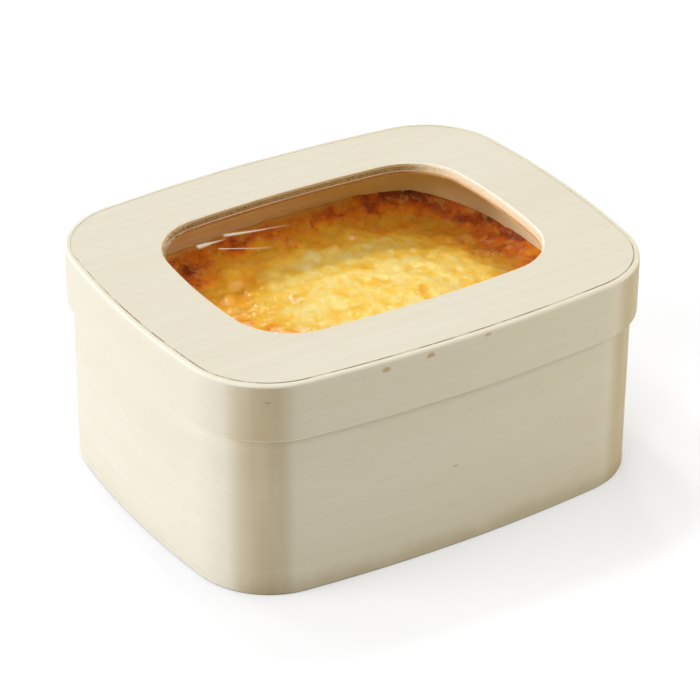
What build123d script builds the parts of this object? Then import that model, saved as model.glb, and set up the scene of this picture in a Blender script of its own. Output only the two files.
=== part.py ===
# Bentwood cheese box: a bowed, round-cornered box of bent poplar strip, filled with
# baked cheese, under a push-on lid with a film window in its plywood top.
# Millimetres, +Z up, origin in the middle of the underside. The long sides face
# -Y (front) and +Y (back); the seams of both bands are in the back.

import os
from math import asin, cos, degrees, pi, sin, sqrt

from build123d import *

os.makedirs("parts", exist_ok=True)

# Whole box with its lid on
lid_length = 160.0
lid_width = 129.0
box_height = 74.0
lid_height = 19.0

# Bend radii of the outline: each side is one long arc, each corner a short one
long_side_bend = 490.0
short_side_bend = 300.0
corner_bend = 28.0

# Bent bands
lid_wall = 1.7
body_wall = 1.8
lid_play = 0.25
rim_round = 1.0
hem_chamfer = 0.4
scarf_run = 24.0
scarf_glue_line = 0.15
scarf_tip = 0.35
body_seam_clearance = 3.2
cut_overrun = 1.0

# Three-ply panel of the lid and of the base, outer veneer first
face_ply = 1.2
core_ply = 1.6
back_ply = 0.8
panel_gap = 0.2
lid_panel_shift = 0.1
panel_edge_chamfer = 0.25

# Window cut through the lid's panel, a little off its middle
window_length = 110.0
window_width = 80.5
window_long_bend = 430.0
window_short_bend = 185.0
window_corner_bend = 20.5
window_off_x = 0.9
window_off_y = 0.8
window_edge_chamfer = 0.35
core_setback = 0.2
back_ply_lip = 0.35

# Clear film behind the window, on a frame of thin double-sided tape
film_thickness = 0.3
film_margin = 7.0
tape_thickness = 0.12
tape_setback = 1.2

# Baked cheese: its crust is highest in the middle and rolls off to the walls
cheese_gap = 0.3
crust_level = 49.2
crust_end_drop = 2.8
crust_right_drop = 0.9
crust_front_drop = 1.4
crust_ripple = 0.5
crust_rows = 13
crust_columns = 11

panel_thickness = face_ply + core_ply + back_ply
body_inset = lid_wall + lid_play
body_height = box_height - panel_thickness
inner_inset = body_inset + body_wall

# How far the body's seam is from the middle of the back: it ends short of the corner
body_seam_off = lid_length / 2 - corner_bend - scarf_run / 2 - body_seam_clearance


def bowed_outline(length, width, long_bend, short_bend, corner_bend):
    """Sketch of a rectangle with bowed sides, whose round corners run on from them.

    The bends are radii: of the long sides, the short sides and the corners.
    """
    long_centre = Vector(0, width / 2 - long_bend)
    short_centre = Vector(length / 2 - short_bend, 0)
    long_reach = long_bend - corner_bend
    short_reach = short_bend - corner_bend
    between = short_centre - long_centre
    along = (long_reach**2 - short_reach**2 + between.length**2) / (2 * between.length)
    across = sqrt(long_reach**2 - along**2)
    outwards = Vector(between.Y, -between.X)
    centre = long_centre + between.normalized() * along + outwards.normalized() * across
    long_way = (centre - long_centre).normalized()
    short_way = (centre - short_centre).normalized()
    long_end = centre + long_way * corner_bend
    middle = centre + (long_way + short_way).normalized() * corner_bend
    short_end = centre + short_way * corner_bend
    with BuildSketch() as outline:
        with BuildLine():
            for side in (1, -1):
                ThreePointArc(
                    (-long_end.X, side * long_end.Y),
                    (0, side * width / 2),
                    (long_end.X, side * long_end.Y),
                )
                ThreePointArc(
                    (side * short_end.X, -short_end.Y),
                    (side * length / 2, 0),
                    (side * short_end.X, short_end.Y),
                )
                for end in (1, -1):
                    ThreePointArc(
                        (side * long_end.X, end * long_end.Y),
                        (side * middle.X, end * middle.Y),
                        (side * short_end.X, end * short_end.Y),
                    )
        make_face()
    return outline.sketch


def box_outline(inset):
    """The lid's outline, moved in by a wall or a gap."""
    return bowed_outline(
        lid_length - 2 * inset,
        lid_width - 2 * inset,
        long_side_bend - inset,
        short_side_bend - inset,
        corner_bend - inset,
    )


def window_outline(margin):
    """The window's outline, moved out by a margin, where the window is."""
    outline = bowed_outline(
        window_length + 2 * margin,
        window_width + 2 * margin,
        window_long_bend + margin,
        window_short_bend + margin,
        window_corner_bend + margin,
    )
    return outline.moved(Location((window_off_x, window_off_y)))


def scarf_cut(wall, outer_inset, seam_off):
    """Sketch of the glue line of a band's scarf joint, in the back.

    The strip's ends are planed to long wedges with blunt tips, and lie on each other.
    The seam is that far from the middle of the back, along its long bend.
    """
    half_run = scarf_run / 2
    half_wall = wall / 2
    path = [
        (-half_run, half_wall + cut_overrun),
        (-half_run, half_wall - scarf_tip),
        (half_run, scarf_tip - half_wall),
        (half_run, -half_wall - cut_overrun),
    ]
    near_side = [(-x, y) for x, y in path]
    far_side = [(-x - scarf_glue_line, y + scarf_glue_line) for x, y in path]
    with BuildSketch() as cut:
        with Locations((0, lid_width / 2 - outer_inset - half_wall)):
            Polygon(*near_side, *reversed(far_side), align=None)
    bend_axis = Axis((0, lid_width / 2 - long_side_bend, 0), (0, 0, 1))
    return cut.sketch.rotate(bend_axis, degrees(asin(seam_off / long_side_bend)))


# Body band: the bent side wall, from the table up to the lid's panel
with BuildPart() as body_band:
    with BuildSketch():
        add(box_outline(body_inset))
        add(box_outline(inner_inset), mode=Mode.SUBTRACT)
    extrude(amount=body_height)
    chamfer(body_band.faces().sort_by(Axis.Z)[0].outer_wire().edges(), hem_chamfer)
    with BuildSketch():
        add(scarf_cut(body_wall, body_inset, body_seam_off))
    extrude(amount=body_height, mode=Mode.SUBTRACT)
body_band.part.label = "body_band"

# Base panel: three plies let into the body band, flush with its lower edge
base_outline = box_outline(inner_inset + panel_gap)

with BuildPart() as base_back_ply:
    with BuildSketch():
        add(base_outline)
    extrude(amount=back_ply)
base_back_ply.part.label = "base_back_ply"

with BuildPart() as base_core_ply:
    with BuildSketch(Plane.XY.offset(back_ply)):
        add(base_outline)
    extrude(amount=core_ply)
base_core_ply.part.label = "base_core_ply"

with BuildPart() as base_face_ply:
    with BuildSketch(Plane.XY.offset(back_ply + core_ply)):
        add(base_outline)
    extrude(amount=face_ply)
base_face_ply.part.label = "base_face_ply"

# Lid band: the shallow hoop that slides down over the body band
with BuildPart() as lid_band:
    with BuildSketch(Plane.XY.offset(box_height - lid_height)):
        add(box_outline(0))
        add(box_outline(lid_wall), mode=Mode.SUBTRACT)
    extrude(amount=lid_height)
    fillet(lid_band.faces().sort_by(Axis.Z)[-1].outer_wire().edges(), rim_round)
    chamfer(lid_band.faces().sort_by(Axis.Z)[0].outer_wire().edges(), hem_chamfer)
    with BuildSketch(Plane.XY.offset(box_height - lid_height)):
        add(scarf_cut(lid_wall, 0, 0))
    extrude(amount=lid_height, mode=Mode.SUBTRACT)
lid_band.part.label = "lid_band"

# Lid panel: three plies set into the hoop, flush with its rim, with the window cut out
panel_outline = box_outline(lid_wall + panel_gap).moved(Location((0, lid_panel_shift)))
panel_bottom = box_height - panel_thickness

with BuildPart() as lid_back_ply:
    with BuildSketch(Plane.XY.offset(panel_bottom)):
        add(panel_outline)
        add(window_outline(-back_ply_lip), mode=Mode.SUBTRACT)
    extrude(amount=back_ply)
lid_back_ply.part.label = "lid_back_ply"

with BuildPart() as lid_core_ply:
    with BuildSketch(Plane.XY.offset(panel_bottom + back_ply)):
        add(panel_outline)
        add(window_outline(core_setback), mode=Mode.SUBTRACT)
    extrude(amount=core_ply)
lid_core_ply.part.label = "lid_core_ply"

with BuildPart() as lid_face_ply:
    with BuildSketch(Plane.XY.offset(box_height - face_ply)):
        add(panel_outline)
        add(window_outline(0), mode=Mode.SUBTRACT)
    extrude(amount=face_ply)
    top_face = lid_face_ply.faces().sort_by(Axis.Z)[-1]
    chamfer(top_face.outer_wire().edges(), panel_edge_chamfer)
    top_face = lid_face_ply.faces().sort_by(Axis.Z)[-1]
    chamfer(top_face.inner_wires().edges(), window_edge_chamfer)
lid_face_ply.part.label = "lid_face_ply"

# Window film under the panel, and the frame of tape that holds it there
with BuildPart() as film_tape:
    with BuildSketch(Plane.XY.offset(panel_bottom - tape_thickness)):
        add(window_outline(film_margin))
        add(window_outline(tape_setback), mode=Mode.SUBTRACT)
    extrude(amount=tape_thickness)
film_tape.part.label = "film_tape"

with BuildPart() as window_film:
    with BuildSketch(Plane.XY.offset(panel_bottom - tape_thickness - film_thickness)):
        add(window_outline(film_margin))
    extrude(amount=film_thickness)
window_film.part.label = "window_film"

# Baked cheese: fills the box wall to wall, under a crust of broad low swells
def crust_point(along, across):
    """Point of the crust; along and across run from -1 to 1 over the box."""
    level = crust_level - crust_end_drop * along**2
    slope = crust_right_drop * along - crust_front_drop * across
    ripple = crust_ripple * (sin(2 * pi * along + across) + cos(2 * pi * across - along))
    return Vector(along * lid_length / 2, across * lid_width / 2, level - slope + ripple)


crust_surface = Face.make_surface_from_array_of_points(
    [
        [
            crust_point(2 * row / (crust_rows - 1) - 1, 2 * column / (crust_columns - 1) - 1)
            for column in range(crust_columns)
        ]
        for row in range(crust_rows)
    ]
)

with BuildPart() as baked_cheese:
    with BuildSketch(Plane.XY.offset(panel_thickness)):
        add(box_outline(inner_inset + cheese_gap))
    extrude(amount=body_height - panel_thickness)
    split(bisect_by=crust_surface, keep=Keep.BOTTOM)
baked_cheese.part.label = "baked_cheese"

export_step(body_band.part, "parts/body_band.step")
export_step(base_back_ply.part, "parts/base_back_ply.step")
export_step(base_core_ply.part, "parts/base_core_ply.step")
export_step(base_face_ply.part, "parts/base_face_ply.step")
export_step(lid_band.part, "parts/lid_band.step")
export_step(lid_back_ply.part, "parts/lid_back_ply.step")
export_step(lid_core_ply.part, "parts/lid_core_ply.step")
export_step(lid_face_ply.part, "parts/lid_face_ply.step")
export_step(film_tape.part, "parts/film_tape.step")
export_step(window_film.part, "parts/window_film.step")
export_step(baked_cheese.part, "parts/baked_cheese.step")
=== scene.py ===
from math import atan2, cos, pi, radians, sin, sqrt

import bpy
import numpy as np
from mathutils import Matrix, Vector


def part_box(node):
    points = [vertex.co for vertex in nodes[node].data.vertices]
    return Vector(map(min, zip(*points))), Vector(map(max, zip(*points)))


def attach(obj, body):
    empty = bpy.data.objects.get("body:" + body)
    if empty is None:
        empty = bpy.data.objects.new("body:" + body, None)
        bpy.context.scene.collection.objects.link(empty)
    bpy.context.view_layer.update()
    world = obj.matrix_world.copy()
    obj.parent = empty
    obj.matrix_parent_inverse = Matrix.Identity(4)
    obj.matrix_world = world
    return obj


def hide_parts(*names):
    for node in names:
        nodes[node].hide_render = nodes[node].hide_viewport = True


# Bentwood cheese box: the looks of every piece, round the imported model.
# Metres, +Z up, in the model's own frame. The long sides face -Y (front) and +Y (back).

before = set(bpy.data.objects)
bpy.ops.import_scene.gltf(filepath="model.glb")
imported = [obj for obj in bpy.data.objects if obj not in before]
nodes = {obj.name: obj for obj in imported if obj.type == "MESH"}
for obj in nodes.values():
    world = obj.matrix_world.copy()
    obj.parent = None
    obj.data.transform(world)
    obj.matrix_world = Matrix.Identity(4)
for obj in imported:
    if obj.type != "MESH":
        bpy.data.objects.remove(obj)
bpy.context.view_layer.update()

MM = 0.001

# The lid and the window in its panel: length and width, then the radii to which the long
# sides, the short sides and the corners of their outlines are bent
LID_SIZE = (160 * MM, 129 * MM)
LID_BENDS = (490 * MM, 300 * MM, 28 * MM)
WINDOW_SIZE = (110 * MM, 80.5 * MM)
WINDOW_BENDS = (430 * MM, 185 * MM, 20.5 * MM)
WINDOW_MIDDLE = Vector((0.9 * MM, 0.8 * MM))

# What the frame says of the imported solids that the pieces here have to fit
lid_low, lid_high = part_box("lid_band")
core_low, core_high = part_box("lid_core_ply")
film_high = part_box("window_film")[1]
cheese_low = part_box("baked_cheese")[0]

# Camera, as the outlines in the photograph fix it
CAMERA_TARGET = Vector((0, 0, 37 * MM))
CAMERA_DISTANCE = 1004.2 * MM
CAMERA_AZIMUTH = radians(-32.242)
CAMERA_ELEVATION = radians(30.869)
CAMERA_ROLL = radians(0.447)
CAMERA_LENS = 165.22
CAMERA_SENSOR = 36
CAMERA_SHIFT = (-0.0014, -0.00143)


def srgb(red, green, blue):
    """Linear colour of a screen colour given from 0 to 255."""
    shares = [channel / 255 for channel in (red, green, blue)]
    linear = [s / 12.92 if s <= 0.04045 else ((s + 0.055) / 1.055) ** 2.4 for s in shares]
    return (*linear, 1.0)


class Graph:
    """One material's node tree, with a short call for each kind of node."""

    def __init__(self, tree):
        self.tree = tree

    def node(self, kind, **settings):
        made = self.tree.nodes.new(kind)
        for name, value in settings.items():
            setattr(made, name, value)
        return made

    def feed(self, socket, value):
        """Joins another node's output to a socket, or sets the socket's own value."""
        if isinstance(value, bpy.types.NodeSocket):
            self.tree.links.new(value, socket)
        else:
            socket.default_value = value

    def fed(self, kind, **inputs):
        """A node with its inputs fed. Names are the sockets', with _ for spaces."""
        made = self.node(kind)
        for name, value in inputs.items():
            self.feed(made.inputs[name.replace("_", " ")], value)
        return made

    def math(self, operation, *values, clamp=False):
        made = self.node("ShaderNodeMath", operation=operation, use_clamp=clamp)
        for socket, value in zip(made.inputs, values):
            self.feed(socket, value)
        return made.outputs[0]

    def times(self, first, second):
        return self.math("MULTIPLY", first, second)

    def span(self, value, low, high, to_low=0.0, to_high=1.0):
        """Takes low..high to to_low..to_high along an S curve, and holds it there outside."""
        made = self.node("ShaderNodeMapRange", interpolation_type="SMOOTHSTEP")
        for name, given in zip(
            ("Value", "From Min", "From Max", "To Min", "To Max"),
            (value, low, high, to_low, to_high),
        ):
            self.feed(made.inputs[name], given)
        return made.outputs["Result"]

    def place(self):
        """Places on the piece, in its own frame, in metres."""
        return self.node("ShaderNodeTexCoord").outputs["Object"]

    def facing(self):
        """The way the surface faces, in the piece's own frame."""
        return self.node("ShaderNodeTexCoord").outputs["Normal"]

    def split(self, vector):
        return self.fed("ShaderNodeSeparateXYZ", Vector=vector).outputs

    def vector_math(self, operation, *values):
        """A node that works on vectors; a given triple is set on its own socket."""
        made = self.node("ShaderNodeVectorMath", operation=operation)
        for socket, value in zip(made.inputs, values):
            self.feed(socket, value)
        return made.outputs

    def mapped(self, vector, **inputs):
        """A vector that is scaled or turned."""
        return self.fed("ShaderNodeMapping", Vector=vector, **inputs).outputs["Vector"]

    def shader_mix(self, factor, first, second):
        """One shader where the factor is 0, the other where it is 1."""
        made = self.node("ShaderNodeMixShader")
        for socket, value in zip(made.inputs, (factor, first, second)):
            self.feed(socket, value)
        return made.outputs[0]

    def noise(self, vector, waves, detail=2.0, roughness=0.5, distortion=0.0):
        """Noise from 0 to 1, with that many waves to the metre, or a count for each axis."""
        scales = (waves,) * 3 if isinstance(waves, int) else waves
        made = self.fed(
            "ShaderNodeTexNoise",
            Vector=self.mapped(vector, Scale=scales),
            Scale=1.0,
            Detail=detail,
            Roughness=roughness,
            Distortion=distortion,
        )
        return made.outputs["Fac"]

    def ramp(self, value, stops):
        """Colour of a value, from (place, colour) stops."""
        made = self.node("ShaderNodeValToRGB")
        self.feed(made.inputs["Fac"], value)
        points = made.color_ramp.elements
        while len(points) < len(stops):
            points.new(0.5)
        for point, (at, colour) in zip(points, stops):
            point.position = at
            point.color = colour
        return made.outputs["Color"]

    def mix(self, factor, first, second, blend="MIX"):
        made = self.node("ShaderNodeMix", data_type="RGBA", blend_type=blend)
        self.feed(made.inputs["Factor"], factor)
        self.feed(made.inputs["A"], first)
        self.feed(made.inputs["B"], second)
        return made.outputs["Result"]

    def attribute(self, name):
        return self.node("ShaderNodeAttribute", attribute_name=name).outputs["Fac"]

    def bump(self, height, distance, strength=1.0):
        """The way a surface faces whose relief is that high where the height is 1."""
        made = self.fed("ShaderNodeBump", Height=height, Distance=distance, Strength=strength)
        return made.outputs["Normal"]

    def principled(self, **inputs):
        """A surface shader, set to the output."""
        self.output(self.fed("ShaderNodeBsdfPrincipled", **inputs).outputs[0])

    def output(self, shader):
        self.fed("ShaderNodeOutputMaterial", Surface=shader)


def new_material(name):
    """An empty material and the graph to fill it with."""
    material = bpy.data.materials.new(name)
    material.use_nodes = True
    material.node_tree.nodes.clear()
    return material, Graph(material.node_tree)


# Outlines

def arc_points(centre, radius, start, end, count):
    angles = np.linspace(start, end, count, endpoint=False)
    return [centre + radius * Vector((cos(a), sin(a))) for a in angles]


def bowed_outline(length, width, long_bend, short_bend, corner_bend, step):
    """Points, about a step apart, anticlockwise round a rectangle with bowed sides."""
    long_centre = Vector((0, width / 2 - long_bend))
    short_centre = Vector((length / 2 - short_bend, 0))
    long_reach = long_bend - corner_bend
    short_reach = short_bend - corner_bend
    between = short_centre - long_centre
    along = (long_reach**2 - short_reach**2 + between.length_squared) / (2 * between.length)
    across = sqrt(long_reach**2 - along**2)
    outwards = Vector((between.y, -between.x)).normalized()
    centre = long_centre + between.normalized() * along + outwards * across
    short_turn = atan2(centre.y, centre.x - short_centre.x)
    long_turn = atan2(centre.y - long_centre.y, centre.x)
    quarter = []
    for middle, radius, start, end in (
        (short_centre, short_bend, 0, short_turn),
        (centre, corner_bend, short_turn, long_turn),
        (long_centre, long_bend, long_turn, pi / 2),
    ):
        count = max(2, round(radius * (end - start) / step))
        quarter += arc_points(middle, radius, start, end, count)
    quarter = np.array([tuple(p) for p in quarter])
    top = np.array([[0, width / 2]])
    half = np.vstack([quarter, top, (quarter * [-1, 1])[::-1]])
    return np.vstack([half, -half[1:-1]])


def grown_outline(size, bends, margin, step):
    """A bowed outline of that size and those bends, moved out by a margin."""
    length, width = [side + 2 * margin for side in size]
    return bowed_outline(length, width, *[bend + margin for bend in bends], step)


def box_outline(inset, step):
    """The lid's outline, moved in by a wall or a gap."""
    return grown_outline(LID_SIZE, LID_BENDS, -inset, step)


def window_outline(margin, step):
    """The window's outline, moved out by a margin, round the window's own middle."""
    return grown_outline(WINDOW_SIZE, WINDOW_BENDS, margin, step)


def filled_outline(outline, rings):
    """A square net of places that fills an outline evenly, and how far in each is.

    The outermost ring lies on the outline.
    """
    steps = np.linspace(-1, 1, 2 * rings + 1)
    along, across = np.meshgrid(steps, steps)
    reach = np.maximum(np.abs(along), np.abs(across))
    sides = np.abs(outline).max(axis=0)
    turns = np.arctan2(across * sides[1], along * sides[0])
    angles = np.arctan2(outline[:, 1], outline[:, 0])
    order = np.argsort(angles)
    radii = np.hypot(*outline.T)[order]
    radius = np.interp(turns, angles[order], radii, period=2 * pi)
    depth = radius * (1 - reach)
    return radius * reach * np.cos(turns), radius * reach * np.sin(turns), depth


# Smooth noise over a plane, the same on every run

LATTICE_SIZE = 256
lattice = np.random.default_rng(11).random((LATTICE_SIZE, LATTICE_SIZE))
jitter = np.random.default_rng(12).random((LATTICE_SIZE, LATTICE_SIZE, 2))


def value_noise(x, y):
    """Noise from 0 to 1 that changes over about one unit."""
    column = np.floor(x).astype(int)
    row = np.floor(y).astype(int)
    right = (x - column) ** 2 * (3 - 2 * (x - column))
    up = (y - row) ** 2 * (3 - 2 * (y - row))
    corner = [
        [lattice[(column + i) % LATTICE_SIZE, (row + j) % LATTICE_SIZE] for j in (0, 1)]
        for i in (0, 1)
    ]
    low = corner[0][0] * (1 - right) + corner[1][0] * right
    high = corner[0][1] * (1 - right) + corner[1][1] * right
    return low * (1 - up) + high * up


def fractal_noise(x, y, wave, octaves=3):
    """Noise round 0, within about 1, whose longest wave is that long."""
    total = np.zeros_like(x)
    weight = 1.0
    for octave in range(octaves):
        turn = 0.6 + 1.1 * octave
        u = (x * cos(turn) + y * sin(turn)) / wave * 2**octave + 17 * octave
        v = (y * cos(turn) - x * sin(turn)) / wave * 2**octave + 31 * octave
        total += weight * (2 * value_noise(u, v) - 1)
        weight /= 2
    return total / (2 - 2 * weight)


def blisters(x, y, spacing, share):
    """Round domes, 0 to 1 high: one in each cell of the plane, in that share of the cells."""
    height = np.zeros_like(x)
    column = np.floor(x / spacing).astype(int)
    row = np.floor(y / spacing).astype(int)
    for i in (-1, 0, 1):
        for j in (-1, 0, 1):
            c = (column + i) % LATTICE_SIZE
            r = (row + j) % LATTICE_SIZE
            middle_x = (column + i + jitter[c, r, 0]) * spacing
            middle_y = (row + j + jitter[c, r, 1]) * spacing
            size = spacing * (0.45 + 0.55 * lattice[r, c])
            away = ((x - middle_x) ** 2 + (y - middle_y) ** 2) / size**2
            dome = np.where(lattice[c, r] < share, np.clip(1 - away, 0, 1) ** 1.5, 0)
            height = np.maximum(height, dome * (0.4 + 0.6 * jitter[r, c, 0]))
    return height


# Mesh pieces

def add_object(name, data):
    made = bpy.data.objects.new(name, data)
    bpy.context.scene.collection.objects.link(made)
    return made


def new_piece(name, points, faces, material, body, smooth=True):
    """A mesh object of points and faces that rides on a body."""
    mesh = bpy.data.meshes.new(name)
    mesh.from_pydata([tuple(p) for p in points], [], faces)
    mesh.validate()
    if smooth:
        mesh.shade_smooth()
    else:
        mesh.shade_flat()
    mesh.materials.append(material)
    piece = add_object(name, mesh)
    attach(piece, body)
    return piece


def net_faces(rows, columns, start=0, flip=False):
    """Faces of a net of rows x columns points that are listed row by row."""
    faces = []
    for row in range(rows - 1):
        for column in range(columns - 1):
            at = start + row * columns + column
            face = (at, at + 1, at + columns + 1, at + columns)
            faces.append(face[::-1] if flip else face)
    return faces


def strip_faces(lower, upper):
    """Faces between two closed rings, each given by its points' places in the list."""
    count = len(lower)
    return [
        (lower[(k + 1) % count], lower[k], upper[k], upper[(k + 1) % count])
        for k in range(count)
    ]


def net_rim(rows, columns):
    """Places in the list of the points on a net's rim, in order round it."""
    bottom = list(range(columns))
    right = [row * columns + columns - 1 for row in range(1, rows)]
    top = [(rows - 1) * columns + column for column in range(columns - 2, -1, -1)]
    left = [row * columns for row in range(rows - 2, 0, -1)]
    return bottom + right + top + left


# Baked cheese

CRUST_RINGS = 138
CRUST_INSET = 3.82 * MM
CRUST_LEVEL = 49.2 * MM
CRUST_END_DROP = 2.8 * MM
CRUST_RIGHT_DROP = 0.9 * MM
CRUST_FRONT_DROP = 1.4 * MM
CRUST_RIPPLE = 0.5 * MM

# The crust climbs the wall a little, and is smoother there
CRUST_CLIMB = 1.3 * MM
CRUST_CLIMB_WIDTH = 1.5 * MM
CRUST_SMOOTH_WIDTH = 3.5 * MM

# It has risen most at the back, right of the middle: x, y, reach along x and y, height
BACK_RISE = (44 * MM, 60 * MM, 27 * MM, 13 * MM, 2.9 * MM)

# The least baked part of the crust, an oval
PALE_MIDDLE = (18 * MM, 11 * MM)
PALE_REACH = (39 * MM, 30 * MM)

# Browning there, how much its ring adds, and where the ring starts, as a share of the oval
BROWNING_LEAST = 0.07
BROWNING_RING = 0.33
BROWNING_FROM = 0.70
BROWNING_RUN = 0.52

# Its edges wander, and it is mottled and freckled
BROWNING_WAVE = 7 * MM
BROWNING_WANDER = 2.0 * MM
FRECKLE_WAVE = 4.2 * MM

# Patches of browning: x, y and radius in millimetres, then how much each adds or takes
BROWN_PATCHES = (
    (-28, 50, 6, 0.36), (-22, 51, 4, 0.26), (-32, 43, 5, 0.24), (-29, 38, 3.2, 0.10),
    (-21, 32, 7, -0.09), (-34, 26, 3, 0.16), (-31, 15, 3, 0.24), (-27, 5, 3, 0.22),
    (-46, 44, 14, 0.26),
    (-9, 54, 5, 0.26), (2, 55, 5, 0.24), (12, 53, 4, 0.20), (25, 54, 3.6, 0.36),
    (34, 51, 5, 0.22), (42, 52, 4.5, 0.22), (18, 41, 4.5, 0.28), (7, 46, 3.2, 0.16),
    (-11, 41, 3.2, 0.18), (30, 45, 3, 0.12), (-10, 19, 2.6, 0.38), (28, 1.5, 2.0, 0.46),
    (19, 23, 2.6, 0.28), (14, 20, 1.8, 0.16), (33, 26, 3, 0.12), (16, -2, 3.4, 0.14),
    (52, 55, 6, 0.24), (61, 54, 6, 0.20), (64, 44, 5, 0.22), (66, 34, 4.5, 0.20),
    (64, 20, 5.5, 0.46), (65, 14, 5, 0.36), (49, 42, 3, 0.20), (57, 34, 3, 0.16),
    (52, 27, 2.4, 0.14), (52, 14, 10, 0.08), (-21, -4, 5, 0.12),
    (-62, 30, 12, 0.30), (-66, -12, 12, 0.30),
    (-48, -38, 14, 0.34), (-8, -48, 10, 0.30), (34, -46, 12, 0.30), (62, -34, 12, 0.30),
    (4, -22, 3, 0.34), (46, -18, 4, 0.32), (-38, -8, 6, 0.22), (-24, -22, 3, 0.30),
)

# It is baked darkest along the wall: how far in, how much, and how much more on the right
EDGE_BURN_WIDTH = 15 * MM
EDGE_BURN = 0.20
EDGE_BURN_RIGHT = 0.30
EDGE_BURN_RIGHT_FROM = 30 * MM
EDGE_BURN_RIGHT_RUN = 22 * MM

# Beads of fat on the crust, raised and painted pale as highlights: x, y and radius in
# millimetres
BEADS_AND_GLINTS = (
    (59, 27, 2.2), (61, 25, 1.6), (65, 22, 1.6), (59, 17, 1.4), (62, 14, 1.8), (65, 12, 1.2),
    (49, 18.5, 1.3), (62, 38, 1.3), (-30, 46, 1.1), (-27, 22, 1.2), (-30, 17, 1.1),
    (-25, 18, 0.9), (6, 47, 1.3), (5, 53, 1.0), (28, 43, 1.4), (17, 38, 1.5), (19, 36, 1.0),
    (36, 36, 1.1), (-40, 12, 1.6), (-30, -30, 1.8), (20, -38, 1.8), (52, -30, 2.0),
)
BEAD_SPREAD = 1.1 * MM
BEAD_WAVE = 2.6 * MM
BEAD_WANDER = 1.9 * MM
BEAD_HEIGHT = 0.35 * MM

# Fat smears the foot of the wall, save on the right, and its pale colour is also painted light
# under the lid: up to where, and over how much
SMEAR_TO = 46 * MM
SMEAR_RUN = 20 * MM

# Relief of the crust: the length of its waves, and their heights in the browned ring and
# in the pale middle
SWELL_WAVE = 15 * MM
SWELL = 0.40 * MM
LARGE_WAVE = 9 * MM
SOFT_WAVE = 6 * MM
SMALL_WAVE = 3.4 * MM
TINY_WAVE = 1.7 * MM
DOME_SPACING = 6.5 * MM
DOME_SHARE = 0.5
RING_RELIEF = {"large": 0.80 * MM, "domes": 0.95 * MM, "small": 0.62 * MM, "tiny": 0.24 * MM}
MIDDLE_RELIEF = {"soft": 0.60 * MM, "small": 0.36 * MM, "tiny": 0.10 * MM}
CRUST_SETTLE = 0.35 * MM


def beads_and_glints(x, y):
    """Where the beads of fat and their painted highlights are, 0 to 1, with ragged edges."""
    total = np.zeros_like(x)
    warped_x = x + BEAD_WANDER * fractal_noise(x, y, BEAD_WAVE, 2)
    warped_y = y + BEAD_WANDER * fractal_noise(y + 1, x, BEAD_WAVE, 2)
    for bead_x, bead_y, radius in BEADS_AND_GLINTS:
        away = np.hypot(warped_x - bead_x * MM, warped_y - bead_y * MM)
        total = np.maximum(total, np.exp(-((away / (radius * BEAD_SPREAD)) ** 3)))
    return total


def smooth_step(value):
    held = np.clip(value, 0, 1)
    return held**2 * (3 - 2 * held)


def off_middle(x, y):
    """How far places are from the crust's pale middle: 1 on the rim of its oval."""
    return np.hypot((x - PALE_MIDDLE[0]) / PALE_REACH[0], (y - PALE_MIDDLE[1]) / PALE_REACH[1])


def browning(x, y, depth, lumps):
    """How far the crust is baked, 0 to 1, at places of it."""
    warped_x = x + BROWNING_WANDER * fractal_noise(x, y, BROWNING_WAVE)
    warped_y = y + BROWNING_WANDER * fractal_noise(y + 1, x, BROWNING_WAVE)
    outwards = (off_middle(warped_x, warped_y) - BROWNING_FROM) / BROWNING_RUN
    baked = BROWNING_LEAST + BROWNING_RING * smooth_step(outwards)
    for patch_x, patch_y, radius, more in BROWN_PATCHES:
        away = np.hypot(warped_x - patch_x * MM, warped_y - patch_y * MM) / (radius * MM)
        baked += more * np.exp(-(away**2))
    near_wall = smooth_step(1 - (depth + warped_x - x) / EDGE_BURN_WIDTH)
    rightward = smooth_step((warped_x - EDGE_BURN_RIGHT_FROM) / EDGE_BURN_RIGHT_RUN)
    baked += near_wall * (EDGE_BURN + EDGE_BURN_RIGHT * rightward)
    ring = np.clip(baked * 2.2 - 0.2, 0, 1)
    baked += (0.06 + 0.14 * ring) * fractal_noise(x, y, BROWNING_WAVE, 4)
    freckles = smooth_step((fractal_noise(x + 5 * MM, y, FRECKLE_WAVE, 2) - 0.08) / 0.40)
    baked += (0.02 + 0.18 * ring) * (freckles - 0.25)
    baked += (0.34 * ring - 0.42 * (1 - ring)) * (lumps - 0.5)
    baked = np.clip(baked, 0, 2)
    return baked / (1 + baked**4) ** 0.25


def crust_level(x, y):
    """The level of the crust without its relief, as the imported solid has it."""
    along = x / (LID_SIZE[0] / 2)
    across = y / (LID_SIZE[1] / 2)
    level = CRUST_LEVEL - CRUST_END_DROP * along**2
    slope = CRUST_RIGHT_DROP * along - CRUST_FRONT_DROP * across
    ripple = CRUST_RIPPLE * (np.sin(2 * pi * along + across) + np.cos(2 * pi * across - along))
    return level - slope + ripple


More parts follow.
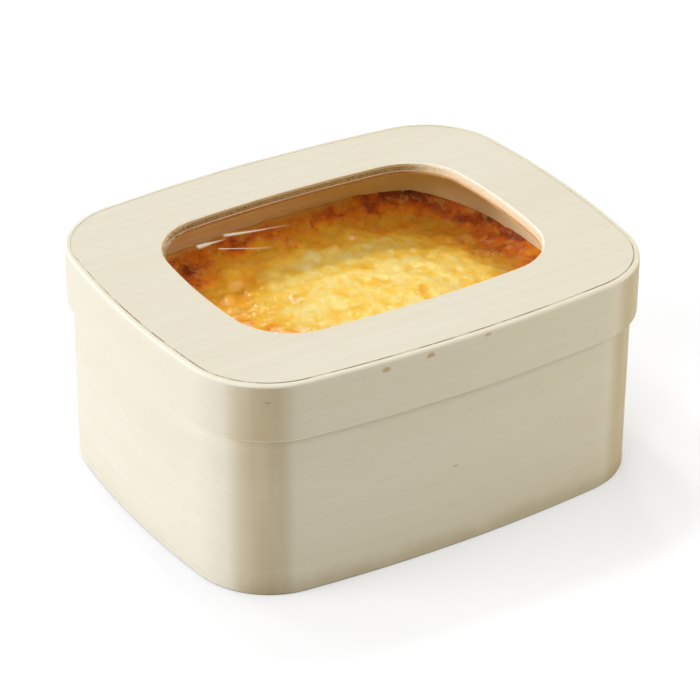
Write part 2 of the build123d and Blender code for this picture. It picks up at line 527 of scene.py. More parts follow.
def crust_heights(x, y, depth):
    """Heights of the crust, and how lumpy it is there, at places of it.

    depth is how far each place is from the wall.
    """
    outer = smooth_step((off_middle(x, y) - 0.5) / 0.7)
    form = {
        "large": fractal_noise(x, y, LARGE_WAVE, 2),
        "soft": fractal_noise(x + 9 * MM, y, SOFT_WAVE, 2),
        "domes": blisters(x, y, DOME_SPACING, DOME_SHARE),
        "small": fractal_noise(x + 40 * MM, y, SMALL_WAVE, 1),
        "tiny": fractal_noise(x, y + 60 * MM, TINY_WAVE, 1),
    }
    lumps = 0.5 + 0.25 * form["large"] + 0.35 * (form["domes"] - 0.3) + 0.25 * form["small"]
    ring = sum(height * form[kind] for kind, height in RING_RELIEF.items())
    middle = sum(height * form[kind] for kind, height in MIDDLE_RELIEF.items())
    bumps = outer * ring + (1 - outer) * middle + BEAD_HEIGHT * beads_and_glints(x, y)
    bumps *= 1 - 0.7 * smooth_step(1 - depth / CRUST_SMOOTH_WIDTH)
    swell = SWELL * fractal_noise(x, y, SWELL_WAVE, 2)
    rise_x, rise_y, reach_x, reach_y, rise = BACK_RISE
    swell += rise * np.exp(-(((x - rise_x) / reach_x) ** 2) - ((y - rise_y) / reach_y) ** 2)
    climb = CRUST_CLIMB * np.exp(-depth / CRUST_CLIMB_WIDTH)
    return crust_level(x, y) + swell + bumps + climb - CRUST_SETTLE, lumps


def make_cheese(material):
    """The baked cheese: a relief of fine squares on top, plain walls and an underside."""
    outline = box_outline(CRUST_INSET, 1 * MM)
    x, y, depth = filled_outline(outline, CRUST_RINGS)
    z, lumps = crust_heights(x, y, depth)
    count = 2 * CRUST_RINGS + 1
    points = np.stack([x.ravel(), y.ravel(), z.ravel()], axis=1)
    rim = net_rim(count, count)
    foot = points[rim] * [1, 1, 0] + [0, 0, cheese_low.z]
    foot_places = range(len(points), len(points) + len(rim))
    faces = net_faces(count, count) + strip_faces(rim, foot_places)
    faces.append(tuple(reversed(foot_places)))
    points = np.vstack([points, foot])
    piece = new_piece("cheese_crust", points, faces, material, "box")
    lit_smear = np.exp(-depth / CRUST_CLIMB_WIDTH) * smooth_step((SMEAR_TO - x) / SMEAR_RUN)
    for name, on_crust, on_foot in (
        ("browning", browning(x, y, depth, lumps), 0.5),
        ("fat", beads_and_glints(x, y), 0.0),
        ("wall_smear_lit", lit_smear, 0.5),
    ):
        stored = piece.data.attributes.new(name, "FLOAT", "POINT")
        values = np.concatenate([on_crust.ravel(), np.full(len(rim), on_foot)])
        stored.data.foreach_set("value", values.astype(np.float32))
    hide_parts("baked_cheese")


# The crust's colours at each degree of browning
CRUST_COLOURS = (
    (0.00, srgb(255, 226, 130)),
    (0.15, srgb(255, 212, 88)),
    (0.30, srgb(255, 197, 62)),
    (0.45, srgb(255, 182, 48)),
    (0.60, srgb(255, 158, 38)),
    (0.74, srgb(236, 124, 34)),
    (0.87, srgb(176, 76, 34)),
    (1.00, srgb(106, 46, 38)),
)
CURD_COLOUR = srgb(255, 240, 172)
GILT_COLOUR = srgb(255, 204, 108)
SINGED_COLOUR = srgb(172, 78, 28)
PAINTED_GLINT_COLOUR = srgb(255, 216, 150)
SMEAR_AND_LIGHT_COLOUR = srgb(255, 204, 116)

# Waves to the metre of its mottling, and how far the strings of cheese are turned
STRINGS_TURN = radians(32)
MOTTLE_WAVES = (270, 170, 250)
CURD_WAVES = (340, 210, 330)
GILT_WAVES = (380, 240, 330)
SINGED_WAVES = (520, 330, 420)


def crust_colour(graph, burn):
    """Pale curds in the middle, gilt and singed spots in the ring, and painted highlights on the
    beads of fat.
    """
    place = graph.place()
    turned = graph.mapped(place, Rotation=(0, 0, STRINGS_TURN))
    mottle = graph.noise(turned, MOTTLE_WAVES, 3.0, 0.6, 0.8)
    fine = graph.noise(place, 1300, 2.0, 0.6)
    shifted = graph.math("MULTIPLY_ADD", mottle, 0.42, graph.math("SUBTRACT", burn, 0.21))
    shifted = graph.math("MULTIPLY_ADD", fine, 0.20, graph.math("SUBTRACT", shifted, 0.10))
    colour = graph.ramp(shifted, CRUST_COLOURS)
    pale = graph.span(graph.noise(turned, CURD_WAVES, 2.0, 0.5, 0.5), 0.46, 0.66)
    curd = graph.times(pale, graph.span(burn, 0.05, 0.45, 0.55, 0))
    colour = graph.mix(curd, colour, CURD_COLOUR)
    browned = graph.span(burn, 0.25, 0.5)
    light = graph.span(graph.noise(turned, GILT_WAVES, 2.0, 0.5, 0.4), 0.52, 0.70, 0, 0.5)
    colour = graph.mix(graph.times(light, browned), colour, GILT_COLOUR)
    deep = graph.span(graph.noise(turned, SINGED_WAVES, 2.0, 0.5, 0.4), 0.54, 0.74, 0, 0.4)
    colour = graph.mix(graph.times(deep, browned), colour, SINGED_COLOUR)
    # Painted highlights on the beads of fat
    bead = graph.span(graph.noise(place, 1600), 0.42, 0.60, 0.0, 0.7)
    colour = graph.mix(graph.times(graph.attribute("fat"), bead), colour, PAINTED_GLINT_COLOUR)
    # Pale fat smear at the foot of the wall, lightened as painted light under the lid
    lit_smear = graph.span(graph.attribute("wall_smear_lit"), 0.08, 0.7, 0, 0.9)
    return graph.mix(lit_smear, colour, SMEAR_AND_LIGHT_COLOUR)


def cheese_material():
    """Baked crust, from soft yellow to burnt, with a gloss of fat that grows with browning."""
    material, graph = new_material("baked_cheese_crust")
    place = graph.place()
    burn = graph.attribute("browning")
    rough = graph.span(graph.noise(place, 260), 0.3, 0.7, 0.30, 0.50)
    grit = graph.noise(place, 600)
    relief = graph.times(grit, graph.span(burn, 0.14, 0.50, 0.25, 1.0))
    tilted = graph.node("ShaderNodeLayerWeight").outputs["Facing"]
    wet = graph.span(burn, 0.12, 0.36, 0.15, 1.0)
    wet = graph.times(wet, graph.span(tilted, 0.50, 0.68, 1, 0))
    graph.principled(
        Base_Color=crust_colour(graph, burn),
        Roughness=rough,
        Specular_IOR_Level=0.12,
        Subsurface_Weight=0.22,
        Subsurface_Radius=(1.0, 0.5, 0.16),
        Subsurface_Scale=0.9 * MM,
        Coat_Weight=wet,
        Coat_Roughness=0.15,
        Coat_IOR=1.42,
        Normal=graph.bump(relief, 0.12 * MM, 0.6),
        Coat_Normal=graph.bump(relief, 0.28 * MM, 1.0),
    )
    return material


# Veneers

FLECK_COLOUR = srgb(214, 198, 166)
GRAIN_HEIGHT = 0.04 * MM


def veneer_material(name, stretch, pale, warm, rough, finish=()):
    """Bare veneer. stretch holds the grain's waves to the metre along each axis."""
    material, graph = new_material(name)
    place = graph.place()
    broad = graph.noise(place, [s * 0.010 + 9 for s in stretch], 2.0, 0.5, 0.4)
    bands = graph.noise(place, [s * 0.14 for s in stretch], 3.0, 0.55, 0.2)
    lines = graph.noise(place, stretch, 2.0, 0.6)
    tone = graph.times(graph.span(bands, 0.3, 0.7), 0.18)
    tone = graph.math("MULTIPLY_ADD", broad, 0.82, tone)
    colour = graph.mix(graph.span(tone, 0.1, 0.9), pale, warm)
    dark = graph.times(graph.span(lines, 0.5, 0.85), 0.07)
    colour = graph.mix(dark, colour, warm, "MULTIPLY")
    flecks = graph.noise(place, [s * 0.55 + 140 for s in stretch], 1.0, 0.5)
    fleck = graph.span(flecks, 0.64, 0.80, 0, 0.18)
    colour = graph.mix(fleck, colour, FLECK_COLOUR, "MULTIPLY")
    for step in finish:
        colour = step(graph, colour)
    height = graph.math("MULTIPLY_ADD", bands, 0.6, lines)
    graph.principled(
        Base_Color=colour,
        Roughness=graph.span(bands, 0.2, 0.8, rough - 0.08, rough + 0.08),
        Specular_IOR_Level=0.3,
        Normal=graph.bump(height, GRAIN_HEIGHT, 0.5),
    )
    return material


def outwardness(graph):
    """How much the surface faces away from the box's middle, from about -1 to 1."""
    outwards = graph.vector_math("NORMALIZE", graph.place())["Vector"]
    return graph.vector_math("DOT_PRODUCT", outwards, graph.facing())["Value"]


def inner_stain_and_light(graph, colour):
    """Fat and baking colour on the inside of the body band, strongest above the crust, and paler
    towards the right end as painted light.
    """
    place = graph.split(graph.place())
    inside = graph.span(outwardness(graph), -0.2, -0.05, 1, 0)
    streaks = graph.noise(graph.place(), (30, 30, 900), 3.0)
    edge = graph.math("MULTIPLY_ADD", streaks, 8 * MM, place["Z"])
    amount = graph.span(edge, 60 * MM, 74 * MM, 1.0, 0.3)
    inside_colour = graph.mix(graph.span(streaks, 0.3, 0.7), srgb(244, 222, 186), srgb(252, 236, 206))
    # Painted light: the inside is paler towards the right end
    paler = graph.span(place["X"], 14 * MM, 56 * MM, 0, 1.0)
    inside_colour = graph.mix(paler, inside_colour, srgb(255, 244, 204))
    return graph.mix(graph.times(inside, amount), colour, inside_colour)


def bend_tint_and_shade(graph, colour):
    """The strip is a little browner where it is bent hard, at the corners, and painted darker
    there as shade.
    """
    facing = graph.split(graph.facing())
    across = graph.times(facing["Y"], facing["Y"])
    bend = graph.times(graph.math("ABSOLUTE", facing["X"]), across)
    streaks = graph.noise(graph.place(), (160, 160, 8))
    uneven = graph.span(streaks, 0.25, 0.70, 0.42, 0.66)
    strength = graph.times(graph.span(bend, 0.20, 0.385), uneven)
    return graph.mix(strength, colour, srgb(206, 186, 144), "MULTIPLY")


def painted_arris_highlights(graph, colour):
    """Painted highlights: paler where the top edge is rounded over, and at the strip's lower
    edge.
    """
    up = graph.split(graph.facing())["Z"]
    rounded = graph.times(graph.span(up, 0.15, 0.45), graph.span(up, 0.93, 0.99, 1, 0))
    colour = graph.mix(graph.times(rounded, 0.35), colour, srgb(244, 240, 228))
    return graph.mix(graph.span(up, -0.75, -0.5, 0.8, 0), colour, srgb(252, 246, 224))


def foot_line(graph, colour):
    """A dark line at the foot of the body band, painted as contact shade, and above it, on the
    front, a ragged zone that is darker towards the foot.
    """
    height = graph.split(graph.place())["Z"]
    foot_noise = graph.noise(graph.place(), (120, 120, 60), 3.0)
    ragged = graph.math("MULTIPLY_ADD", foot_noise, 6 * MM, height)
    front = graph.span(graph.split(graph.facing())["Y"], -0.9, -0.4, 0.5, 0)
    low = graph.times(graph.span(ragged, 3 * MM, 11 * MM, 1, 0), front)
    colour = graph.mix(low, colour, srgb(208, 196, 170), "MULTIPLY")
    # Painted contact shade: the dark line along the foot
    return graph.mix(graph.span(height, 0.35 * MM, 0.6 * MM, 0.85, 0), colour, srgb(92, 80, 62))


# Small tan stains: x, y, z, width and height in millimetres, and how strong each is.
# Three are under the rim of the lid's front and one at its corner, one is on the body.
LID_MARKS = (
    (-28, -64, 71.3, 1.8, 1.1, 0.60),
    (-13, -64, 71.8, 1.8, 1.1, 0.60),
    (7, -64, 72.7, 1.6, 0.9, 0.45),
    (-64.4, -58, 68.5, 1.0, 0.6, 0.4),
)
BODY_MARKS = ((-2, -62.4, 28.8, 1.1, 0.5, 0.45),)
MARK_REACH = 3 * MM
MARK_COLOUR = srgb(196, 152, 92)


def marked(marks):
    """A finish that adds small stains, frayed at their edges, to a veneer."""
    def finish(graph, colour):
        place = graph.place()
        blur = graph.noise(place, 900)
        for x, y, z, wide, tall, depth in marks:
            moved = graph.vector_math("SUBTRACT", place, (x * MM, y * MM, z * MM))["Vector"]
            size = (wide * MM, MARK_REACH, tall * MM)
            scaled = graph.vector_math("DIVIDE", moved, size)["Vector"]
            length = graph.vector_math("LENGTH", scaled)["Value"]
            away = graph.math("MULTIPLY_ADD", blur, 0.6, graph.math("SUBTRACT", length, 0.3))
            amount = graph.span(away, 0.35, 1.1, depth, 0)
            colour = graph.mix(amount, colour, MARK_COLOUR, "MULTIPLY")
        return colour
    return finish


def at_window(graph):
    """1 near the window's edge, 0 at the panel's own rim."""
    place = graph.split(graph.place())
    near_x = graph.span(graph.math("ABSOLUTE", place["X"]), 62 * MM, 64 * MM, 1, 0)
    near_y = graph.span(graph.math("ABSOLUTE", place["Y"]), 50 * MM, 52 * MM, 1, 0)
    return graph.times(near_x, near_y)


def upright_at_window(graph, up):
    """1 on the upright cut of the window, where up is how much the surface faces up."""
    upright = graph.span(graph.math("ABSOLUTE", up), 0.2, 0.5, 1, 0)
    return graph.times(upright, at_window(graph))


def end_cut(graph):
    """1 where the window's cut faces along the box, 0 where it faces across."""
    return graph.span(graph.math("ABSOLUTE", graph.split(graph.facing())["X"]), 0.35, 0.9)


def seam_painted_shade(graph, colour):
    """Painted shade in the open seam: the panel's outer arris is dark in front, in short breaks,
    where the seam is open.
    """
    facing = graph.split(graph.facing())
    forward = graph.times(facing["Y"], -0.8)
    forward = graph.math("MULTIPLY_ADD", facing["X"], -0.5, forward)
    breaks = graph.span(graph.noise(graph.place(), 170, 3.0), 0.40, 0.56, 0.12, 0.80)
    outer = graph.math("SUBTRACT", 1.0, at_window(graph))
    sloped = graph.span(facing["Z"], 0.9, 0.97, 1, 0)
    amount = graph.times(graph.span(forward, 0.15, 0.35), breaks)
    amount = graph.times(amount, graph.times(outer, sloped))
    return graph.mix(amount, colour, srgb(128, 114, 88))


def cut_edge(graph, colour):
    """Tan cut wall of the face ply, darker on the long sides, and its pale arris, partly worn
    and partly a painted highlight.
    """
    up = graph.split(graph.facing())["Z"]
    arris = graph.times(graph.span(up, 0.4, 0.6), graph.span(up, 0.8, 0.95, 1, 0))
    tan = graph.mix(end_cut(graph), srgb(204, 185, 155), srgb(252, 246, 230))
    fibres = graph.noise(graph.place(), (500, 500, 2600), 3.0, 0.6)
    tan = graph.mix(graph.span(fibres, 0.45, 0.75, 0, 0.3), tan, srgb(190, 160, 118), "MULTIPLY")
    colour = graph.mix(upright_at_window(graph, up), colour, tan)
    # Painted highlight, with some wear, on the window's rounded arris
    return graph.mix(graph.times(arris, at_window(graph)), colour, srgb(244, 238, 222))


def back_ply_edge(graph, colour):
    """The ledge of the back ply that shows in the window, pinkish tan, and its brown wall."""
    up = graph.split(graph.facing())["Z"]
    ledge = graph.times(graph.span(up, 0.5, 0.8), at_window(graph))
    wall = upright_at_window(graph, up)
    side = end_cut(graph)
    colour = graph.mix(ledge, colour, graph.mix(side, srgb(234, 208, 180), srgb(248, 236, 210)))
    return graph.mix(wall, colour, graph.mix(side, srgb(168, 116, 64), srgb(206, 166, 112)))


def core_material():
    """Core ply: rough end grain with pits on the window's long sides, smooth on its ends."""
    material, graph = new_material("core_veneer_cut")
    place = graph.place()
    fibres = graph.noise(place, (2000, 500, 1400), 3.0, 0.6)
    pits = graph.noise(place, (1500, 900, 1900), 2.0, 0.6)
    side = end_cut(graph)
    rough_cut = graph.mix(fibres, srgb(200, 172, 132), srgb(154, 128, 94))
    pit = graph.span(pits, 0.50, 0.64, 0, 0.8)
    rough_cut = graph.mix(pit, rough_cut, srgb(96, 70, 50))
    smooth_cut = graph.mix(fibres, srgb(250, 238, 214), srgb(238, 220, 186))
    colour = graph.mix(side, rough_cut, smooth_cut)
    normal = graph.bump(pits, 0.25 * MM, 0.7)
    graph.principled(Base_Color=colour, Roughness=0.85, Specular_IOR_Level=0.2, Normal=normal)
    return material


# Rough cut edge of the window

CORE_HOLE_MARGIN = 0.2 * MM
CUT_STEP = 0.25 * MM
CUT_ROWS = 9
CUT_PROUD = 0.10 * MM
CUT_ROUGH = 0.09 * MM
CUT_TORN = 0.12 * MM
FIBRES = 260
TORN_CORNER = radians(147)
TORN_REACH = radians(26)

# The six faces of a sliver, from its four lower and four upper corners
SLIVER_FACES = (
    (3, 2, 1, 0), (4, 5, 6, 7), (0, 1, 5, 4), (1, 2, 6, 5), (2, 3, 7, 6), (3, 0, 4, 7),
)


def ring_normals(ring):
    """Outward directions at the points of a closed outline that runs anticlockwise."""
    way = np.roll(ring, -1, axis=0) - np.roll(ring, 1, axis=0)
    way /= np.hypot(*way.T)[:, None]
    return np.stack([way[:, 1], -way[:, 0]], axis=1)


def torn_share(ring):
    """1 at the window's torn corner, at the back left, and 0 away from it."""
    turn = np.arctan2(ring[:, 1], ring[:, 0])
    return smooth_step(1 - np.abs(turn - TORN_CORNER) / TORN_REACH)


def make_core_cut(material):
    """The core ply's cut end grain: a rough ribbon just in front of the sawn wall."""
    ring = window_outline(CORE_HOLE_MARGIN, CUT_STEP)
    normals = ring_normals(ring)
    along = np.cumsum(np.hypot(*(ring - np.roll(ring, 1, axis=0)).T))
    rows = []
    for row in range(CUT_ROWS):
        up = row / (CUT_ROWS - 1)
        level = core_low.z + up * (core_high.z - core_low.z)
        rough = fractal_noise(along, np.full_like(along, level * 1.5), 0.9 * MM, 2)
        torn = torn_share(ring) * fractal_noise(along, np.full_like(along, level), 2.2 * MM, 2)
        held = 0 if row in (0, CUT_ROWS - 1) else 1
        proud = held * (CUT_PROUD + CUT_ROUGH * rough + CUT_TORN * torn)
        places = ring - normals * proud[:, None]
        rows.append(np.column_stack([places, np.full(len(ring), level)]))
    points = np.vstack(rows) + [WINDOW_MIDDLE.x, WINDOW_MIDDLE.y, 0]
    count = len(ring)
    faces = []
    for at in range(0, (CUT_ROWS - 1) * count, count):
        faces += strip_faces(range(at, at + count), range(at + count, at + 2 * count))
    new_piece("window_core_cut", points, faces, material, "lid")


def make_fibres(material):
    """Slivers and torn fibres that stand out of the window's cut edge."""
    random = np.random.default_rng(5)
    ring = window_outline(0, CUT_STEP)
    normals = ring_normals(ring)
    torn = torn_share(ring)
    chances = 0.25 + 3.0 * torn
    picks = random.choice(len(ring), FIBRES, p=chances / chances.sum())
    points = []
    faces = []
    for pick in picks:
        inward = Vector((*(-normals[pick]), 0))
        side = Vector((-normals[pick][1], normals[pick][0], 0))
        base = Vector((*ring[pick], 0)) + Vector((WINDOW_MIDDLE.x, WINDOW_MIDDLE.y, 0))
        on_lip = random.random() < 0.65
        base.z = core_low.z if on_lip else core_high.z + random.uniform(0, 0.5) * MM
        base -= inward * 0.1 * MM
        reach = random.uniform(0.25, 0.6) * (1 + 0.8 * torn[pick]) * MM
        drop = random.uniform(-0.6, 0.1) * reach
        lean = side * random.normal(0, 0.5) * reach
        wide = side * random.uniform(0.06, 0.20) * (1 + torn[pick]) * MM
        thick = Vector((0, 0, random.uniform(0.03, 0.07) * MM))
        tip = base + inward * (reach + (0.35 * MM if on_lip else 0)) + lean
        tip.z += drop
        first = len(points)
        points += [base - wide, base + wide, tip + wide * 0.3, tip - wide * 0.3]
        points += [point + thick for point in points[first:first + 4]]
        faces += [tuple(first + k for k in face) for face in SLIVER_FACES]
    new_piece("window_edge_fibres", points, faces, material, "lid", False)


# Glue in the seam between the lid's panel and its band

SEAM_INSET = 1.72 * MM
SEAM_WIDTH = 0.22 * MM
SEAM_TOP = lid_high.z - 0.14 * MM
SEAM_BOTTOM = lid_high.z - 1.30 * MM
SEAM_FOOT = lid_high.z - 1.50 * MM
SEAM_OPEN_TURN = radians(-105)
SEAM_OPEN_HALF = radians(62)
SEAM_OPEN_FADE = radians(16)
SEAM_RAGGED = radians(9)


def make_glue_line(material):
    """A thin bead of glue that fills the seam, save in front where it has sunk in."""
    outer = box_outline(SEAM_INSET, 1 * MM)
    turn = np.arctan2(outer[:, 1], outer[:, 0])
    away = np.abs((turn - SEAM_OPEN_TURN + pi) % (2 * pi) - pi)
    ragged = SEAM_RAGGED * fractal_noise(turn * 20, turn * 0, 1.0, 3)
    filled = smooth_step((away + ragged - SEAM_OPEN_HALF) / SEAM_OPEN_FADE)
    level = SEAM_BOTTOM + filled * (SEAM_TOP - SEAM_BOTTOM)
    half_size = np.array(LID_SIZE) / 2 - SEAM_INSET
    inner = outer * (1 - SEAM_WIDTH / half_size)
    count = len(outer)
    low = np.full(count, SEAM_FOOT)
    rings = (
        np.column_stack([outer, low]),
        np.column_stack([outer, level]),
        np.column_stack([inner, level]),
        np.column_stack([inner, low]),
    )
    places = [range(at, at + count) for at in range(0, 4 * count, count)]
    faces = []
    for this, other in zip(places, places[1:] + places[:1]):
        faces += strip_faces(other, this)
    new_piece("panel_glue_line", np.vstack(rings), faces, material, "lid")


# Film under the window

FILM_RINGS = 90
FILM_MARGIN = 7 * MM
FILM_THICKNESS = 0.12 * MM
FILM_SETBACK = 0.02 * MM
FILM_FREE_RUN = 4 * MM
FILM_SAG = 0.15 * MM
FILM_WAVE = 30 * MM
FILM_WAVINESS = 0.25 * MM
FILM_SHINE = 0.0005
FILM_GRAZING_SHINE = 0.03
PAINTED_STREAK_SHINE = 0.62
CREASE_HEIGHT = 0.3 * MM
CREASE_REACH = 1.2 * MM
CREASE_WANDER = 0.5 * MM

# Creases, raised in the film, with painted reflection streaks along them: start x, y, end x, y,
# sideways bow, and widths at both ends
CREASES = (
    (-27.5, 32.2, -3.5, 27.2, -0.6, 1.6, 0.16),
    (-38.0, 29.6, -26.0, 29.3, 0.2, 2.2, 0.16),
    (-33.0, 25.8, -15.0, 16.4, -0.5, 0.55, 0.30),
)


def crease_way(crease):
    """Where a crease starts, and the way and distance from there to its end."""
    start_x, start_y, end_x, end_y = [value * MM for value in crease[:4]]
    return start_x, start_y, Vector((end_x - start_x, end_y - start_y))


def along_crease(x, y, crease):
    """How far along a crease places are, 0 to 1, and how far beside it."""
    start_x, start_y, way = crease_way(crease)
    bow = crease[4] * MM
    along = ((x - start_x) * way.x + (y - start_y) * way.y) / way.length_squared
    across = ((y - start_y) * way.x - (x - start_x) * way.y) / way.length
    return along, across - 4 * bow * along * (1 - along)


def make_film(material):
    outline = window_outline(FILM_MARGIN, 1 * MM)
    x, y, depth = filled_outline(outline, FILM_RINGS)
    free = smooth_step((depth - FILM_MARGIN) / FILM_FREE_RUN)
    z = free * (FILM_WAVINESS * fractal_noise(x, y, FILM_WAVE, 2) - FILM_SAG)
    x = x + WINDOW_MIDDLE.x
    y = y + WINDOW_MIDDLE.y
    for crease in CREASES:
        along, across = along_crease(x, y, crease)
        ends = np.clip(4 * along, 0, 1) * np.clip(4 * (1 - along), 0, 1)
        z += CREASE_HEIGHT * free * ends * np.exp(-((across / CREASE_REACH) ** 2))
    count = 2 * FILM_RINGS + 1
    z = np.minimum(z, -FILM_SETBACK) + film_high.z
    top = np.stack([x.ravel(), y.ravel(), z.ravel()], axis=1)
    bottom = top - [0, 0, FILM_THICKNESS]
    total = count * count
    faces = net_faces(count, count) + net_faces(count, count, total, True)
    rim = net_rim(count, count)
    faces += strip_faces(rim, [total + place for place in rim])
    points = np.vstack([top, bottom])
    piece = new_piece("clear_window_film", points, faces, material, "lid")
    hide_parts("window_film")


def painted_crease_streak(graph, place, crease):
    """How much painted reflection a crease adds at a place of the film: a thin streak that
    tapers.
    """
    bow, start_width, end_width = [value * MM for value in crease[4:]]
    start_x, start_y, way = crease_way(crease)
    axes = graph.split(place)
    from_x = graph.math("SUBTRACT", axes["X"], start_x)
    from_y = graph.math("SUBTRACT", axes["Y"], start_y)
    along = graph.times(from_x, way.x / way.length_squared)
    along = graph.math("MULTIPLY_ADD", from_y, way.y / way.length_squared, along)
    across = graph.times(from_x, -way.y / way.length)
    across = graph.math("MULTIPLY_ADD", from_y, way.x / way.length, across)
    arch = graph.times(along, graph.math("SUBTRACT", 1.0, along))
    across = graph.math("MULTIPLY_ADD", arch, -4 * bow, across)
    wander = graph.noise(place, 140)
    across = graph.math("SUBTRACT", across, CREASE_WANDER / 2)
    across = graph.math("MULTIPLY_ADD", wander, CREASE_WANDER, across)
    width = graph.span(along, 0, 1, start_width / 2, end_width / 2)
    nearness = graph.math("DIVIDE", graph.math("ABSOLUTE", across), width)
    streak = graph.span(nearness, 0.3, 1.5, 1, 0)
    ends = graph.times(graph.span(along, 0, 0.06), graph.span(along, 0.75, 1.0, 1, 0))
    fade = graph.span(along, 0.1, 1.0, 1, 0.35)
    return graph.times(graph.times(streak, ends), fade)


def film_material():
    """Clear film that shines by Schlick's rule, alike from both sides, with painted reflection
    streaks along its creases.
    """
    material, graph = new_material("clear_window_film")
    place = graph.place()
    ripple = graph.noise(place, 60)
    normal = graph.bump(ripple, 0.3 * MM, 0.5)
    clear = graph.fed("ShaderNodeBsdfTransparent", Color=(0.998, 0.998, 0.998, 1))
    gold = (1.0, 0.90, 0.70, 1)
    gloss = graph.fed("ShaderNodeBsdfGlossy", Color=gold, Roughness=0.08, Normal=normal)
    facing = graph.node("ShaderNodeLayerWeight").outputs["Facing"]
    grazing = graph.math("POWER", facing, 5.0)
    shine = graph.math("MULTIPLY_ADD", grazing, FILM_GRAZING_SHINE, FILM_SHINE)
    for crease in CREASES:
        streak = painted_crease_streak(graph, place, crease)
        shine = graph.math("MULTIPLY_ADD", streak, PAINTED_STREAK_SHINE, shine, clamp=True)
    graph.output(graph.shader_mix(shine, clear.outputs[0], gloss.outputs[0]))
    return material


def tape_material():
    material, graph = new_material("clear_tape")
    cloudy = graph.noise(graph.place(), 300)
    colour = graph.mix(cloudy, srgb(236, 230, 214), srgb(220, 208, 182))
    graph.principled(Base_Color=colour, Roughness=0.4, Alpha=0.5)
    return material


# Stage: floor, light and camera

FLOOR_REACH = 2.0
FLOOR_PLAIN = ((0.80, 0.80, 0.80, 1), (0.79, 0.79, 0.79, 1))
FLOOR_SHADE = ((0.41, 0.42, 0.45, 1), (0.42, 0.43, 0.46, 1))

# How far the floor that the camera sees is lifted to white, by the box and far from it
FLOOR_LIFT = 0.60
FLOOR_LIFT_FAR = 1.0
FAR_FROM = 190 * MM
FAR_TO = 420 * MM

# The floor's glow is painted darker as shade this close to the box, least on its open side
CONTACT_REACH = 40 * MM
CONTACT_DEPTH = 0.36
OPEN_SIDE = (-0.70, 0.42, 0.58)

AMBIENT = 0.02
COOL = (0.98, 1.0, 1.09)
PLAIN = (1.0, 0.99, 0.97)
WARM = (1.0, 0.94, 0.79)

# Each lamp: azimuth from the front and elevation in degrees, distance, size, level, colour
LAMPS = {
    "key": (-111, 18, 1.6, 0.9, 0.65, COOL),
    "top": (0, 84, 1.4, 0.6, 0.20, PLAIN),
    "gloss_left": (-150, 62, 1.4, 0.16, 0.09, PLAIN),
    "gloss_back": (176, 66, 1.4, 0.16, 0.20, PLAIN),
    "gloss_right": (150, 52, 1.4, 0.16, 0.13, PLAIN),
    "side_fill": (64, 22, 0.8, 0.7, 0.39, WARM),
    "front_fill": (24, 54, 1.4, 1.0, 0.08, WARM),
    "window_light": (-54, 40, 1.2, 0.4, 0.19, WARM),
}


def seen_directly(graph):
    """1 for what the camera sees, also in gloss and through clear film."""
    path = graph.node("ShaderNodeLightPath").outputs
    either = graph.math("MAXIMUM", path["Is Camera Ray"], path["Is Glossy Ray"])
    return graph.math("MAXIMUM", either, path["Is Transmission Ray"])


def contact_shade(graph):
    """Painted shade on the floor's glow: 1 on open floor, less close to the box."""
    leaning = graph.fed("ShaderNodeCombineXYZ", **dict(zip("XYZ", OPEN_SIDE))).outputs[0]
    around = graph.fed("ShaderNodeAmbientOcclusion", Distance=CONTACT_REACH, Normal=leaning)
    return graph.math("MULTIPLY_ADD", around.outputs["AO"], CONTACT_DEPTH, 1 - CONTACT_DEPTH)


def floor_material():
    """White floor that keeps the shadow: seen directly it is lifted to white."""
    material, graph = new_material("floor")
    grain = graph.noise(graph.place(), 3)
    plain = graph.fed("ShaderNodeBsdfDiffuse", Color=graph.mix(grain, *FLOOR_PLAIN))
    shade = graph.fed("ShaderNodeBsdfDiffuse", Color=graph.mix(grain, *FLOOR_SHADE))
    away = graph.vector_math("LENGTH", graph.place())["Value"]
    lift = graph.span(away, FAR_FROM, FAR_TO, FLOOR_LIFT, FLOOR_LIFT_FAR)
    glow = graph.fed("ShaderNodeEmission", Strength=graph.times(contact_shade(graph), lift))
    lifted = graph.node("ShaderNodeAddShader")
    graph.feed(lifted.inputs[0], shade.outputs[0])
    graph.feed(lifted.inputs[1], glow.outputs[0])
    seen = seen_directly(graph)
    graph.output(graph.shader_mix(seen, plain.outputs[0], lifted.outputs[0]))
    return material


def make_floor():
    corners = [(-1, -1, 0), (1, -1, 0), (1, 1, 0), (-1, 1, 0)]
    mesh = bpy.data.meshes.new("floor")
    mesh.from_pydata([Vector(corner) * FLOOR_REACH for corner in corners], [], [(0, 1, 2, 3)])
    mesh.materials.append(floor_material())
    floor = add_object("floor", mesh)


def make_world():
    """A dim warm world for the light, a white one for what is seen directly."""
    world = bpy.data.worlds.new("studio")
    bpy.context.scene.world = world
    world.use_nodes = True
    world.node_tree.nodes.clear()
    graph = Graph(world.node_tree)
    soft = graph.fed("ShaderNodeBackground", Color=(*WARM, 1), Strength=AMBIENT)
    white = graph.fed("ShaderNodeBackground", Strength=1.0)
    both = graph.shader_mix(seen_directly(graph), soft.outputs[0], white.outputs[0])
    graph.fed("ShaderNodeOutputWorld", Surface=both)


def way_to(azimuth, elevation):
    """The way from the box to a lamp or camera; azimuth 0 is in front."""
    flat = cos(elevation)
    return Vector((sin(azimuth) * flat, -cos(azimuth) * flat, sin(elevation)))


def add_lamp(name, azimuth, elevation, distance, size, level, colour):
    """An area lamp that gives that level, where 1 is plain white, on a square facing it."""
    data = bpy.data.lights.new(name, "AREA")
    data.shape = "DISK"
    data.size = size
    data.color = colour
    data.energy = level * pi**2 * ((size / 2) ** 2 + distance**2)
    away = way_to(azimuth, elevation)
    lamp = add_object(name, data)
    lamp.location = CAMERA_TARGET + away * distance
    lamp.rotation_euler = away.to_track_quat("Z", "Y").to_euler()


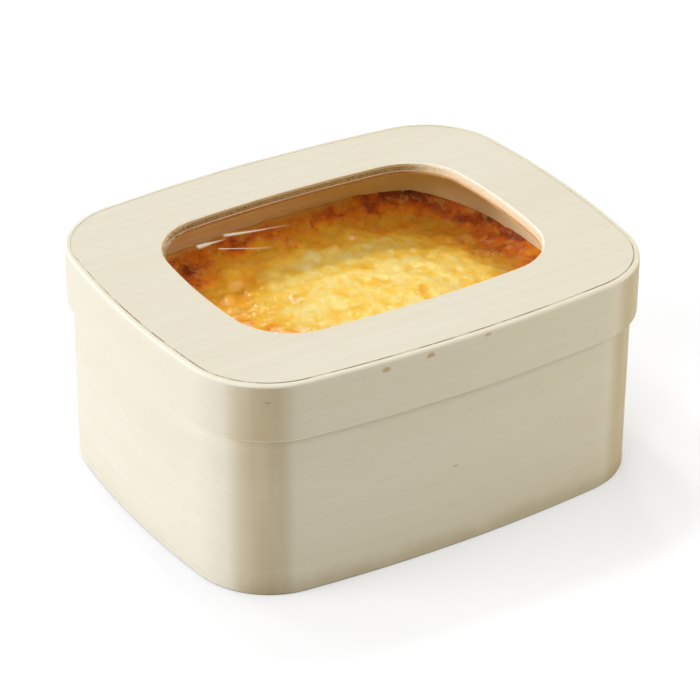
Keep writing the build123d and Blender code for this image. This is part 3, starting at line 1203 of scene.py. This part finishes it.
def make_camera():
    back = way_to(CAMERA_AZIMUTH, CAMERA_ELEVATION)
    right = Vector((cos(CAMERA_AZIMUTH), sin(CAMERA_AZIMUTH), 0))
    up = back.cross(right)
    rolled_right = right * cos(CAMERA_ROLL) + up * sin(CAMERA_ROLL)
    rolled_up = up * cos(CAMERA_ROLL) - right * sin(CAMERA_ROLL)
    data = bpy.data.cameras.new("camera")
    data.lens = CAMERA_LENS
    data.sensor_width = CAMERA_SENSOR
    data.shift_x, data.shift_y = CAMERA_SHIFT
    camera = add_object("camera", data)
    turn = Matrix((rolled_right, rolled_up, back)).transposed().to_4x4()
    place = Matrix.Translation(CAMERA_TARGET + back * CAMERA_DISTANCE)
    camera.matrix_world = place @ turn
    bpy.context.scene.camera = camera


def set_material(node, material):
    nodes[node].material_slots[0].material = material


# Kinds of veneer: waves of the grain to the metre along each axis, and two colours
BAND = ((26, 26, 2400), srgb(229, 224, 208), srgb(224, 217, 196))
FACE = ((26, 2400, 2400), srgb(223, 218, 203), srgb(217, 211, 193))
TORN = ((26, 2400, 2400), srgb(232, 214, 184), srgb(208, 184, 148))

# The veneer of each band and ply: its name, kind, roughness and finish
body_finish = (bend_tint_and_shade, inner_stain_and_light, marked(BODY_MARKS), foot_line)
lid_finish = (bend_tint_and_shade, marked(LID_MARKS), painted_arris_highlights)
VENEERS = {
    "body_band": ("bent_veneer_body", *BAND, 0.7, body_finish),
    "lid_band": ("bent_veneer_lid", *BAND, 0.7, lid_finish),
    "lid_face_ply": ("face_veneer_top", *FACE, 0.65, (cut_edge, seam_painted_shade)),
    "lid_back_ply": ("back_veneer", *FACE, 0.7, (back_ply_edge,)),
}
for node, settings in VENEERS.items():
    set_material(node, veneer_material(*settings))
base_face = veneer_material("base_veneer", *FACE, 0.7)
for node in ("base_face_ply", "base_back_ply"):
    set_material(node, base_face)
core = core_material()
for node in ("lid_core_ply", "base_core_ply"):
    set_material(node, core)
set_material("film_tape", tape_material())

make_core_cut(core)
make_fibres(veneer_material("torn_fibres", *TORN, 0.8))
make_glue_line(base_face)
make_cheese(cheese_material())
make_film(film_material())

make_floor()
make_world()
for name, (azimuth, elevation, *settings) in LAMPS.items():
    add_lamp(name, radians(azimuth), radians(elevation), *settings)
make_camera()
bpy.context.scene.view_settings.view_transform = "Standard"
